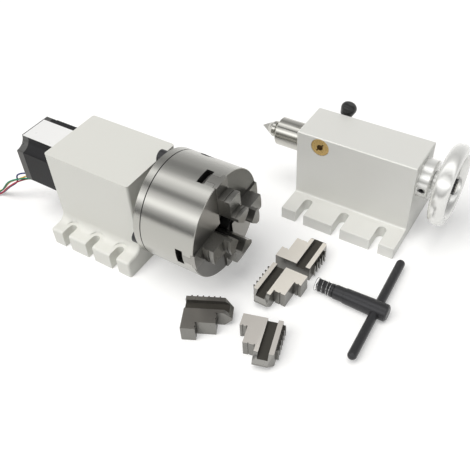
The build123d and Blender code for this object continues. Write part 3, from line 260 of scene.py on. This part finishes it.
def turnedMaterial(name, colour, metallic, roughness, line, change, fan=None):
    # Lathe marks: a noise of the distance along the axis and of the distance from it, gloss drawn out across
    # the marks, and on a faced end a painted highlight: two pale sectors where the colour goes over to the
    # fan's
    material, nodes, links, shader = newMaterial(name, colour, metallic, roughness)
    shader.inputs["Anisotropic"].default_value = latheMarks["drawnOut"]
    shader.inputs["Anisotropic Rotation"].default_value = latheMarks["quarterTurn"]
    place = nodes.new("ShaderNodeTexCoord")
    centre = nodes.new("ShaderNodeMapping")
    centre.inputs["Location"].default_value = (0, -line[0], -line[1])
    apart = nodes.new("ShaderNodeSeparateXYZ")
    links.new(place.outputs["Object"], centre.inputs["Vector"])
    links.new(centre.outputs["Vector"], apart.inputs["Vector"])
    along, across, upward = (apart.outputs[axis] for axis in "XYZ")
    square = mathNode(nodes, links, "MULTIPLY", upward, upward)
    radius = mathNode(nodes, links, "SQRT", mathNode(nodes, links, "MULTIPLY_ADD", across, across, square))
    joined = nodes.new("ShaderNodeCombineXYZ")
    links.new(along, joined.inputs["X"])
    links.new(radius, joined.inputs["Y"])
    noise = nodes.new("ShaderNodeTexNoise")
    noise.inputs["Scale"].default_value = latheMarks["rings"]
    noise.inputs["Detail"].default_value = latheMarks["detail"]
    links.new(joined.outputs["Vector"], noise.inputs["Vector"])
    rough = spread(nodes, links, noise.outputs["Fac"], roughness - change, roughness + change)
    links.new(rough, shader.inputs["Roughness"])
    bumpFrom(nodes, links, shader, noise.outputs["Fac"], latheMarks["depth"])
    tangent = nodes.new("ShaderNodeCombineXYZ")     # runs round the axis
    links.new(mathNode(nodes, links, "MULTIPLY", upward, -1), tangent.inputs["Y"])
    links.new(across, tangent.inputs["Z"])
    links.new(tangent.outputs["Vector"], shader.inputs["Tangent"])
    if fan:
        # The fan is a painted highlight: two pale sectors mixed into the base colour by the angle round the
        # axis
        angle = mathNode(nodes, links, "ARCTAN2", upward, across)
        twice = mathNode(nodes, links, "MULTIPLY_ADD", angle, 2, -2 * math.radians(fan["angle"]))
        level = nodes.new("ShaderNodeMapRange")
        level.interpolation_type = "SMOOTHSTEP"
        level.inputs["From Min"].default_value = fan["from"]
        links.new(mathNode(nodes, links, "COSINE", twice), level.inputs["Value"])
        mixed = nodes.new("ShaderNodeMix")
        mixed.data_type = "RGBA"
        mixed.inputs["A"].default_value = (*colour, 1)
        mixed.inputs["B"].default_value = (*fan["colour"], 1)
        links.new(level.outputs["Result"], mixed.inputs["Factor"])
        links.new(mixed.outputs["Result"], shader.inputs["Base Color"])
    return material


stack = {"colour": (0.012, 0.012, 0.013), "roughness": (0.45, 0.65), "specular": 0.28, "sheets": 320,
         "unevenness": 0.6, "depth": 0.00005, "strength": 0.6}


def stackMaterial(name):
    # Thin sheets side by side along the motor: a wave along X
    low, high = stack["roughness"]
    material, nodes, links, shader = newMaterial(name, stack["colour"], 0.0, low, stack["specular"])
    place = nodes.new("ShaderNodeTexCoord")
    wave = nodes.new("ShaderNodeTexWave")
    wave.wave_type = "BANDS"
    wave.bands_direction = "X"
    wave.inputs["Scale"].default_value = stack["sheets"]
    wave.inputs["Distortion"].default_value = stack["unevenness"]
    links.new(place.outputs["Object"], wave.inputs["Vector"])
    links.new(spread(nodes, links, wave.outputs["Fac"], low, high), shader.inputs["Roughness"])
    bumpFrom(nodes, links, shader, wave.outputs["Fac"], stack["depth"], stack["strength"])
    return material


grainFinishes = {
    # Colour, metallic, roughness, the grain's scale, its depth in metres, its stretch, the roughness's change
    "blastedAluminium": ((0.75, 0.75, 0.71), 0.15, 0.60, 2600, 0.00004),
    "milledAluminium": ((0.78, 0.78, 0.75), 0.25, 0.45, 900, 0.00003, (0.15, 1, 1)),
    "castAluminium": ((0.11, 0.11, 0.107), 0.5, 0.42, 1500, 0.00005),
    "groundSteel": ((0.55, 0.54, 0.51), 0.95, 0.30, 1200, 0.00001, (0.2, 1, 1)),
    "brightFlank": ((0.84, 0.80, 0.73), 0.3, 0.38, 1200, 0.00001, (0.3, 1, 1)),
    "greyFlank": ((0.64, 0.61, 0.57), 0.4, 0.34, 1200, 0.00001, (0.3, 1, 1)),
    "millFlank": ((0.20, 0.19, 0.175), 0.6, 0.30, 700, 0.00001, (1, 0.2, 1)),
    "jawSteel": ((0.24, 0.235, 0.22), 0.9, 0.28, 1200, 0.000002, (1, 1, 1), 0.02),
    "endSteel": ((0.36, 0.352, 0.33), 0.9, 0.30, 1200, 0.000002, (1, 1, 1), 0.02),
    # Painted shade: near-black steel for the jaws' faces inside the chuck and facing back, and the spare
    # jaws' grooves
    "paintedShadeSteel": ((0.075, 0.070, 0.060), 0.6, 0.40, 1200, 0.00001),
    # Near black: the real dark joint before the flange, and painted shade inside the chuck's slots
    "jointAndPaintedSlotShade": ((0.012, 0.012, 0.011), 0.2, 0.6, 1200, 0.00001),
    "blackOxide": ((0.040, 0.040, 0.043), 0.4, 0.34, 1800, 0.00001),
    "brass": ((0.72, 0.50, 0.20), 0.9, 0.28, 900, 0.00001),
    # Painted shade: dark brass for the plug's slot and socket and the bolt end within them
    "paintedShadeBrass": ((0.10, 0.055, 0.015), 0.6, 0.35, 900, 0.00001),
    "label": ((0.86, 0.86, 0.86), 0.0, 0.30, 60, 0.00002),
    "blackRubber": ((0.02, 0.02, 0.02), 0.0, 0.6, 1500, 0.00003),
    "blackKnob": ((0.012, 0.012, 0.012), 0.0, 0.30, 300, 0.00001, (1, 1, 1), 0.02),
    "springWire": ((0.55, 0.55, 0.55), 1.0, 0.20, 900, 0.000003),
    "tinnedCopper": ((0.80, 0.72, 0.66), 1.0, 0.30, 900, 0.00001),
    "greenLead": ((0.01, 0.22, 0.11), 0.0, 0.38, 600, 0.00001),
    "yellowLead": ((0.70, 0.42, 0.03), 0.0, 0.38, 600, 0.00001),
    "redLead": ((0.42, 0.015, 0.05), 0.0, 0.38, 600, 0.00001),
    "blueLead": ((0.02, 0.025, 0.16), 0.0, 0.38, 600, 0.00001),
}
# A painted highlight: pale sectors on the chuck's faced front that stand in for a fan of reflected light
paintedHighlightFan = {"colour": (0.35, 0.34, 0.318), "angle": 130, "from": 0.45}
turnedFinishes = {
    # Colour, metallic, roughness, the line that it turns about, the roughness's change and the painted
    # highlight fan on its end
    "polishedAluminium": ((0.84, 0.84, 0.82), 0.6, 0.24, tailLine, 0.03),
    # Painted shade: a darker copy of the polished aluminium for the handwheel's recessed web
    "paintedShadeWebAluminium": ((0.56, 0.56, 0.545), 0.6, 0.28, tailLine, 0.03),
    "nickelSteel": ((0.56, 0.55, 0.51), 1.0, 0.17, tailLine, 0.03),
    "turnedSteel": ((0.47, 0.465, 0.435), 1.0, 0.25, spindleLine, 0.07),
    # Painted shade: the chuck's front is turned steel made darker to stand for dark reflections, with the
    # painted highlight fan
    "faceShadeAndHighlightSteel": ((0.17, 0.167, 0.158), 1.0, 0.30, spindleLine, 0.07, paintedHighlightFan),
}
finishes = {name: grainMaterial(name, *values) for name, values in grainFinishes.items()}
finishes.update({name: turnedMaterial(name, *values) for name, values in turnedFinishes.items()})
finishes["blackLamination"] = stackMaterial("blackLamination")
print(len(finishes), "finishes made")

# CAD pieces
shownSmooth = {     # nodes seen from outside: a copy with smooth faces stands for each
    "headstock_housing": "blastedAluminium", "motor_front_bell": "castAluminium",
    "motor_stack": "blackLamination", "motor_rear_bell": "castAluminium", "motor_label": "label",
    "lead_grommet": "blackRubber", "motor_mount_screws": "blackOxide", "motor_tie_screws": "blackOxide",
    "output_hub": "turnedSteel", "bearing_retainer": "turnedSteel", "chuck_flange": "turnedSteel",
    "flange_screws": "blackOxide", "chuck_body": "turnedSteel", "pinion_1": "blackOxide",
    "pinion_2": "blackOxide", "tailstock_body": "milledAluminium", "brass_plug": "brass",
    "steel_plug": "groundSteel", "lock_lever": "nickelSteel", "lever_knob": "blackKnob",
    "quill": "nickelSteel", "quill_cap": "nickelSteel", "live_centre": "nickelSteel",
    "end_collar": "polishedAluminium", "collar_set_screw": "blackOxide", "feed_screw": "nickelSteel",
    "handwheel": "polishedAluminium", "wheel_nut": "blackOxide", "key_body": "blackOxide",
    "tommy_bar": "blackOxide", "jaw_1": "jawSteel", "jaw_2": "jawSteel", "jaw_3": "jawSteel",
    "jaw_4": "jawSteel", "spare_jaw_1": "jawSteel", "spare_jaw_2": "jawSteel", "spare_jaw_3": "jawSteel",
    "spare_jaw_4": "jawSteel",
}
hiddenFinish = {    # nodes inside: the CAD mesh itself takes the finish
    "motor_bearings": "nickelSteel", "motor_shaft": "groundSteel", "motor_rotor": "groundSteel",
    "shaft_coupling": "milledAluminium", "input_shaft": "groundSteel", "input_bearing": "nickelSteel",
    "wave_generator": "groundSteel", "wave_bearing": "nickelSteel", "circular_spline": "groundSteel",
    "flexspline": "groundSteel", "output_bearing_ring": "nickelSteel", "output_rollers": "nickelSteel",
    "scroll_cover": "groundSteel", "scroll": "groundSteel", "feed_nut": "brass",
    "centre_bearings": "nickelSteel",
}
bodyOf = {node: body for body, nodes in frame["record"]["behaviour"]["bodies"].items() for node in nodes}
smoothing = {       # metres and degrees
    "doubles": 1e-6, "flatUnder": 0.5, "sharpOver": 32.0, "jawSharpOver": 20.0, "newSharpOver": 50.0,
}


def smoothCopy(node, finish):
    # The CAD mesh with its doubles merged and its edges under an angle shaded smooth
    sharpOver = smoothing["jawSharpOver" if "jaw" in node else "sharpOver"]
    mesh = frame["nodes"][node].data.copy()
    mesh.materials.clear()
    work = bmesh.new()
    work.from_mesh(mesh)
    bmesh.ops.remove_doubles(work, verts=work.verts, dist=smoothing["doubles"])
    flat = math.radians(smoothing["flatUnder"])
    bmesh.ops.dissolve_limit(work, angle_limit=flat, verts=work.verts, edges=work.edges)
    work.to_mesh(mesh)
    work.free()
    mesh.shade_smooth()
    mesh.set_sharp_from_angle(angle=math.radians(sharpOver))
    mesh.materials.append(finishes[finish])
    piece = bpy.data.objects.new(node + "_shown", mesh)
    bpy.context.scene.collection.objects.link(piece)
    weighted = piece.modifiers.new("weighted", "WEIGHTED_NORMAL")
    weighted.keep_sharp = True
    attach(piece, bodyOf[node])
    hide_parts(node)
    return piece


shown = {node: smoothCopy(node, finish) for node, finish in shownSmooth.items()}
for node, finish in hiddenFinish.items():
    mesh = frame["nodes"][node].data
    mesh.materials.clear()
    mesh.materials.append(finishes[finish])
print(len(shown), "CAD pieces dressed")

# Faces of a piece that have a finish of their own
facing = 0.9        # how nearly a face looks along a direction to count as facing it: a cosine


def faceShape(node):
    # Each face's centre and normal
    mesh = shown[node].data
    shape = np.empty((2, len(mesh.polygons) * 3), np.float32)
    mesh.polygons.foreach_get("center", shape[0])
    mesh.polygons.foreach_get("normal", shape[1])
    return shape.reshape(2, -1, 3)


def distanceFrom(line, centre):
    return np.hypot(centre[:, 1] - line[0], centre[:, 2] - line[1])


def finishFaces(node, finish, chosen):
    mesh = shown[node].data
    mesh.materials.append(finishes[finish])
    index = np.empty(len(mesh.polygons), np.int32)
    mesh.polygons.foreach_get("material_index", index)
    index[chosen] = len(mesh.materials) - 1
    mesh.polygons.foreach_set("material_index", index)


chuckParts = {
    "radius": 0.050, "edge": 0.0006,        # metres
    "chamferSlope": (0.3, 0.95),            # how far the joint's chamfer looks along the axis
    "insideShare": 0.97,                    # faces within this share of the radius are inside the slots
    "jawAngle": 4.0, "jawEndShare": 0.9, "grooveEnd": 0.1216, "rearSlope": -0.5,
}


def dressChuck():
    # A dark joint before the flange, painted shade in the slots, a faced front darkened as painted shade with
    # a painted highlight fan, and painted shade on the jaws in their grooves and under their overhangs
    radius, edge = chuckParts["radius"], chuckParts["edge"]
    least, most = chuckParts["chamferSlope"]
    rear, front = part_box("chuck_body")[0][0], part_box("chuck_body")[1][0]
    for node in ("chuck_body", "chuck_flange"):
        centre, normal = faceShape(node)
        slope = np.abs(normal[:, 0])
        joint = (np.abs(centre[:, 0] - rear) < edge) & (slope > least) & (slope < most)
        finishFaces(node, "jointAndPaintedSlotShade", joint & (distanceFrom(spindleLine, centre) > radius - edge))
    centre, normal = faceShape("chuck_body")
    atFront = centre[:, 0] > front - edge / 2
    inside = distanceFrom(spindleLine, centre) < radius * chuckParts["insideShare"]
    # Painted shade: the front face takes steel darker than the body's, with a painted highlight fan
    finishFaces("chuck_body", "faceShadeAndHighlightSteel", atFront & (normal[:, 0] > facing))
    # Painted shade: near-black faces inside the slots
    finishFaces("chuck_body", "jointAndPaintedSlotShade", inside & ~atFront)
    for k in range(4):
        node = f"jaw_{k + 1}"
        angle = math.radians(chuckParts["jawAngle"] + 90 * k)
        cosine, sine = math.cos(angle), math.sin(angle)
        centre, normal = faceShape(node)
        outward = normal[:, 1] * cosine + normal[:, 2] * sine
        out = (centre[:, 1] - spindleLine[0]) * cosine + (centre[:, 2] - spindleLine[1]) * sine
        end = (outward > facing) & (out > radius * chuckParts["jawEndShare"])
        inGroove = (centre[:, 0] < chuckParts["grooveEnd"]) & ~end
        finishFaces(node, "endSteel", end)
        # Painted shade: jaw faces inside the chuck and facing back under overhangs go near black
        finishFaces(node, "paintedShadeSteel", inGroove | (normal[:, 0] < chuckParts["rearSlope"]))


spareJaws = {
    "spare_jaw_1": "greyFlank", "spare_jaw_2": "millFlank", "spare_jaw_3": "brightFlank",
    "spare_jaw_4": "brightFlank",
}
grooveDepth = 0.0003        # faces lower than this under a spare jaw's flank are in its groove


def dressSpareJaws():
    # A ground flank on top, and painted shade in its groove: the upward faces below the flank are dark
    for node, finish in spareJaws.items():
        centre, normal = faceShape(node)
        upward = normal[:, 2] > facing
        top = centre[:, 2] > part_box(node)[1][2] - grooveDepth
        finishFaces(node, finish, upward & top)
        # Painted shade: upward faces below the flank, in the groove
        finishFaces(node, "paintedShadeSteel", upward & ~top)


plugParts = {"edge": 0.0002, "socketFloor": 0.001, "boltEnd": 0.004, "slope": 0.3}     # metres, and a cosine


def dressPlug():
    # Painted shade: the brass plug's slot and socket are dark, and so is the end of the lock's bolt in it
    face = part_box("brass_plug")[0][1]
    centre, normal = faceShape("brass_plug")
    wall = (centre[:, 1] >= face + plugParts["edge"]) & (np.abs(normal[:, 1]) < plugParts["slope"])
    finishFaces("brass_plug", "paintedShadeBrass", wall | (centre[:, 1] > face + plugParts["socketFloor"]))
    centre, normal = faceShape("lock_lever")
    # Painted shade: the bolt's end seen in the socket
    finishFaces("lock_lever", "paintedShadeBrass", centre[:, 1] < face + plugParts["boltEnd"])


wheelParts = {"webShare": 0.72, "slope": 0.5}


def dressWheel():
    # The web within the rim, on its outer side, takes a darker copy of the polished aluminium: painted shade
    centre, normal = faceShape("handwheel")
    low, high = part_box("handwheel")
    web = distanceFrom(tailLine, centre) < (high[2] - low[2]) / 2 * wheelParts["webShare"]
    finishFaces("handwheel", "paintedShadeWebAluminium", web & (normal[:, 0] > wheelParts["slope"]))


dressChuck()
dressSpareJaws()
dressPlug()
dressWheel()
print("faces finished")


# New pieces: how a grid of points becomes a mesh
def gridMesh(name, points, finish, closedAlong=False):
    # points holds rings (along, round, xyz); four neighbours make a face, and open ends are capped
    along, around = points.shape[:2]
    index = np.arange(along * around).reshape(along, around)
    ahead = np.roll(index, -1, axis=0)
    faces = np.stack([index, np.roll(index, -1, axis=1), np.roll(ahead, -1, axis=1), ahead], axis=-1)
    faces = faces.reshape(along, around, 4)[: along if closedAlong else along - 1].reshape(-1, 4).tolist()
    if not closedAlong:
        faces += [index[0][::-1].tolist(), index[-1].tolist()]
    mesh = bpy.data.meshes.new(name)
    mesh.from_pydata(points.reshape(-1, 3).tolist(), [], faces)
    work = bmesh.new()
    work.from_mesh(mesh)
    bmesh.ops.recalc_face_normals(work, faces=work.faces)
    work.to_mesh(mesh)
    work.free()
    mesh.shade_smooth()
    mesh.set_sharp_from_angle(angle=math.radians(smoothing["newSharpOver"]))
    mesh.materials.append(finishes[finish])
    piece = bpy.data.objects.new(name, mesh)
    bpy.context.scene.collection.objects.link(piece)
    return piece


def tubeGrid(path, radius, sides, reference, closed=False):
    # A circle carried along the path: its axes are the path's direction crossed with a fixed one
    path = np.asarray(path, float)
    if closed:
        tangent = np.roll(path, -1, axis=0) - np.roll(path, 1, axis=0)
    else:
        tangent = np.gradient(path, axis=0)
    tangent /= np.linalg.norm(tangent, axis=1)[:, None]
    sideways = np.cross(tangent, reference)
    sideways /= np.linalg.norm(sideways, axis=1)[:, None]
    upwards = np.cross(sideways, tangent)
    turn = np.linspace(0, 2 * math.pi, sides, endpoint=False)[None, :, None]
    return path[:, None] + radius * (np.cos(turn) * sideways[:, None] + np.sin(turn) * upwards[:, None])


# Motor leads
leadShape = {
    "diameter": 0.0016, "length": 0.300,
    "coilCentre": (-164.6, -45.2),          # millimetres
    "entryAngle": 115.5,                    # degrees round the coil, where the leads meet it
    "climb": 1.8, "pointsPerTurn": 16,      # millimetres that a turn rises
    "resolution": 10, "bevelSteps": 3,
    "bareEnd": 0.004, "bareInside": 0.001, "strandShare": 0.6, "strandSides": 10,
    "reference": (0.3, -0.5, 0.81),         # a direction that no lead ever takes
}
leadRoutes = {      # the radius of each lead's turns, their number and its route's points, in millimetres
    "green": (10.9, 3.02, [
        (-92.0, -9.9, 33.8), (-92.0, -9.9, 28.6), (-96.4, -10.3, 25.2), (-105.0, -11.5, 25.0),
        (-114.8, -14.1, 26.2), (-121.6, -21.8, 27.9), (-129.0, -25.1, 25.3), (-136.4, -26.4, 19.9),
        (-142.9, -27.2, 11.8), (-148.6, -27.8, 5.2), (-157.1, -29.6, 0.8), (-163.1, -32.5, 0.8),
    ]),
    "yellow": (12.8, 2.56, [
        (-92.0, -7.3, 33.8), (-92.0, -7.3, 28.5), (-96.3, -7.9, 26.0), (-105.0, -9.6, 26.6),
        (-116.1, -12.0, 28.3), (-123.2, -19.6, 25.6), (-130.4, -22.9, 22.9), (-137.4, -24.5, 17.9),
        (-144.0, -25.5, 10.0), (-150.4, -26.2, 3.8), (-159.2, -28.6, 0.8), (-166.8, -32.2, 0.8),
    ]),
    "red": (7.2, 4.62, [
        (-92.0, -4.7, 33.8), (-92.0, -4.7, 28.2), (-96.0, -5.6, 24.3), (-105.0, -8.3, 23.6),
        (-115.6, -12.2, 24.4), (-121.6, -21.8, 25.2), (-127.6, -25.8, 21.6), (-135.3, -27.8, 15.4),
        (-143.2, -28.9, 7.8), (-148.7, -30.7, 2.6), (-154.6, -32.5, 0.8), (-158.6, -34.4, 0.8),
    ]),
    "blue": (9.1, 3.58, [
        (-92.0, -2.1, 33.8), (-92.0, -2.1, 28.8), (-96.2, -2.7, 26.4), (-104.5, -5.4, 27.4),
        (-114.0, -8.8, 29.0), (-121.8, -12.2, 29.0), (-127.4, -16.4, 28.2), (-128.2, -18.4, 25.6),
        (-126.9, -18.9, 22.6), (-127.3, -21.6, 20.1), (-131.0, -24.8, 17.6), (-136.3, -26.6, 13.4),
        (-144.0, -27.3, 6.0), (-148.9, -28.6, 2.2), (-155.8, -31.0, 0.8), (-160.5, -33.3, 0.8),
    ]),
}


def coilPoints(turnRadius, turns):
    # A helix: the angle grows evenly and the height with it, a little wide because the spline runs inside
    # its points, at three quarters of their radius and a quarter of its cosine over one step
    steps = int(turns * leadShape["pointsPerTurn"])
    angle = np.linspace(0, 2 * math.pi * turns, steps)
    wide = turnRadius / (0.75 + 0.25 * math.cos(angle[1]))
    turned = math.radians(leadShape["entryAngle"]) + angle
    x, y = leadShape["coilCentre"]
    height = leadShape["diameter"] * 1000 / 2 + leadShape["climb"] * angle / (2 * math.pi)
    return np.stack([x + wide * np.cos(turned), y + wide * np.sin(turned), height], axis=1)


def splinePoints(curve):
    # The points of a curve's own line, as Blender makes them when it has no bevel
    depth = curve.data.bevel_depth
    curve.data.bevel_depth = 0
    mesh = bpy.data.meshes.new_from_object(curve)
    curve.data.bevel_depth = depth
    points = np.array([vertex.co for vertex in mesh.vertices])
    bpy.data.meshes.remove(mesh)
    return points


def makeLead(colour):
    turnRadius, turns, route = leadRoutes[colour]
    points = np.vstack([route, coilPoints(turnRadius, turns)]) * 0.001
    half = leadShape["diameter"] / 2
    data = bpy.data.curves.new(colour + "Lead", "CURVE")
    data.dimensions = "3D"
    data.resolution_u = leadShape["resolution"]
    data.bevel_depth = half
    data.bevel_resolution = leadShape["bevelSteps"]
    data.use_fill_caps = True
    spline = data.splines.new("NURBS")
    spline.points.add(len(points) - 1)
    spline.points.foreach_set("co", np.hstack([points, np.ones((len(points), 1))]).ravel())
    spline.order_u = 3
    spline.use_endpoint_u = True
    data.materials.append(finishes[colour + "Lead"])
    lead = bpy.data.objects.new(colour + "Lead", data)
    bpy.context.scene.collection.objects.link(lead)
    line = splinePoints(lead)
    print(colour, "lead is", round(float(np.linalg.norm(np.diff(line, axis=0), axis=1).sum()), 4), "m long")
    # The bare strands: a thinner tube straight on from the spline's end
    direction = (line[-1] - line[-2]) / np.linalg.norm(line[-1] - line[-2])
    run = np.linspace(-leadShape["bareInside"], leadShape["bareEnd"], 8)
    tipLine = line[-1] + run[:, None] * direction
    strand = half * leadShape["strandShare"]
    tipTube = tubeGrid(tipLine, strand, leadShape["strandSides"], leadShape["reference"])
    tip = gridMesh(colour + "LeadEnd", tipTube, "tinnedCopper")
    for piece in (lead, tip):
        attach(piece, "base")
    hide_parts("lead_" + colour, "lead_coil")


for colour in leadRoutes:
    makeLead(colour)

coilTie = {
    "angle": 300.0, "inner": 0.0062, "outer": 0.0139, "height": 0.0088,
    "wire": 0.0005, "squareness": 0.6, "points": 48, "sides": 8,
}


def makeTie():
    # A loop round the bundle's section: a squared ellipse, its cosine and sine raised to a power under one
    turn = np.linspace(0, 2 * math.pi, coilTie["points"], endpoint=False)
    across = np.sign(np.cos(turn)) * np.abs(np.cos(turn)) ** coilTie["squareness"]
    upward = np.sign(np.sin(turn)) * np.abs(np.sin(turn)) ** coilTie["squareness"]
    middle, half = (coilTie["inner"] + coilTie["outer"]) / 2, (coilTie["outer"] - coilTie["inner"]) / 2
    angle = math.radians(coilTie["angle"])
    out = np.array([math.cos(angle), math.sin(angle), 0])
    centre = np.array([*leadShape["coilCentre"], coilTie["height"] * 1000 / 2]) * 0.001
    rise = np.array([0, 0, coilTie["height"] / 2 - coilTie["wire"]])
    path = centre + out * (middle + half * across)[:, None] + rise * upward[:, None]
    roundTheCoil = (-math.sin(angle), math.cos(angle), 0)
    tube = tubeGrid(path, coilTie["wire"], coilTie["sides"], roundTheCoil, closed=True)
    tie = gridMesh("coilTie", tube, "blackRubber", closedAlong=True)
    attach(tie, "base")


makeTie()
print("leads laid and coiled")

# The key's spring
keySpring = {
    "wire": 0.0006, "outer": 0.0065, "turns": 3.2,
    "closed": 0.8,                              # turns at each end that lie close
    "start": 0.2030, "end": 0.2184, "y": 0.0205, "z": 0.00775,
    "points": 260, "sides": 10,
}


def makeSpring():
    # A helix round the nose with its end turns closed: the advance slows at both ends
    wire, closed = keySpring["wire"], keySpring["closed"]
    share = np.linspace(0, 1, keySpring["points"])
    turns = keySpring["turns"] + 2 * closed
    eased = np.clip((share * turns - closed) / keySpring["turns"], 0, 1)
    run = keySpring["end"] - keySpring["start"] - 4 * wire
    x = keySpring["start"] + wire / 2 + run * eased + 2 * closed * wire * share
    turn = 2 * math.pi * share * turns
    ring = keySpring["outer"] - wire / 2
    path = np.stack([x, keySpring["y"] + ring * np.cos(turn), keySpring["z"] + ring * np.sin(turn)], axis=1)
    tube = tubeGrid(path, wire / 2, keySpring["sides"], (1, 0, 0))
    spring = gridMesh("ejectorSpring", tube, "springWire")
    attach(spring, bodyOf["key_spring"])
    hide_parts("key_spring")


makeSpring()
print("key's spring wound")
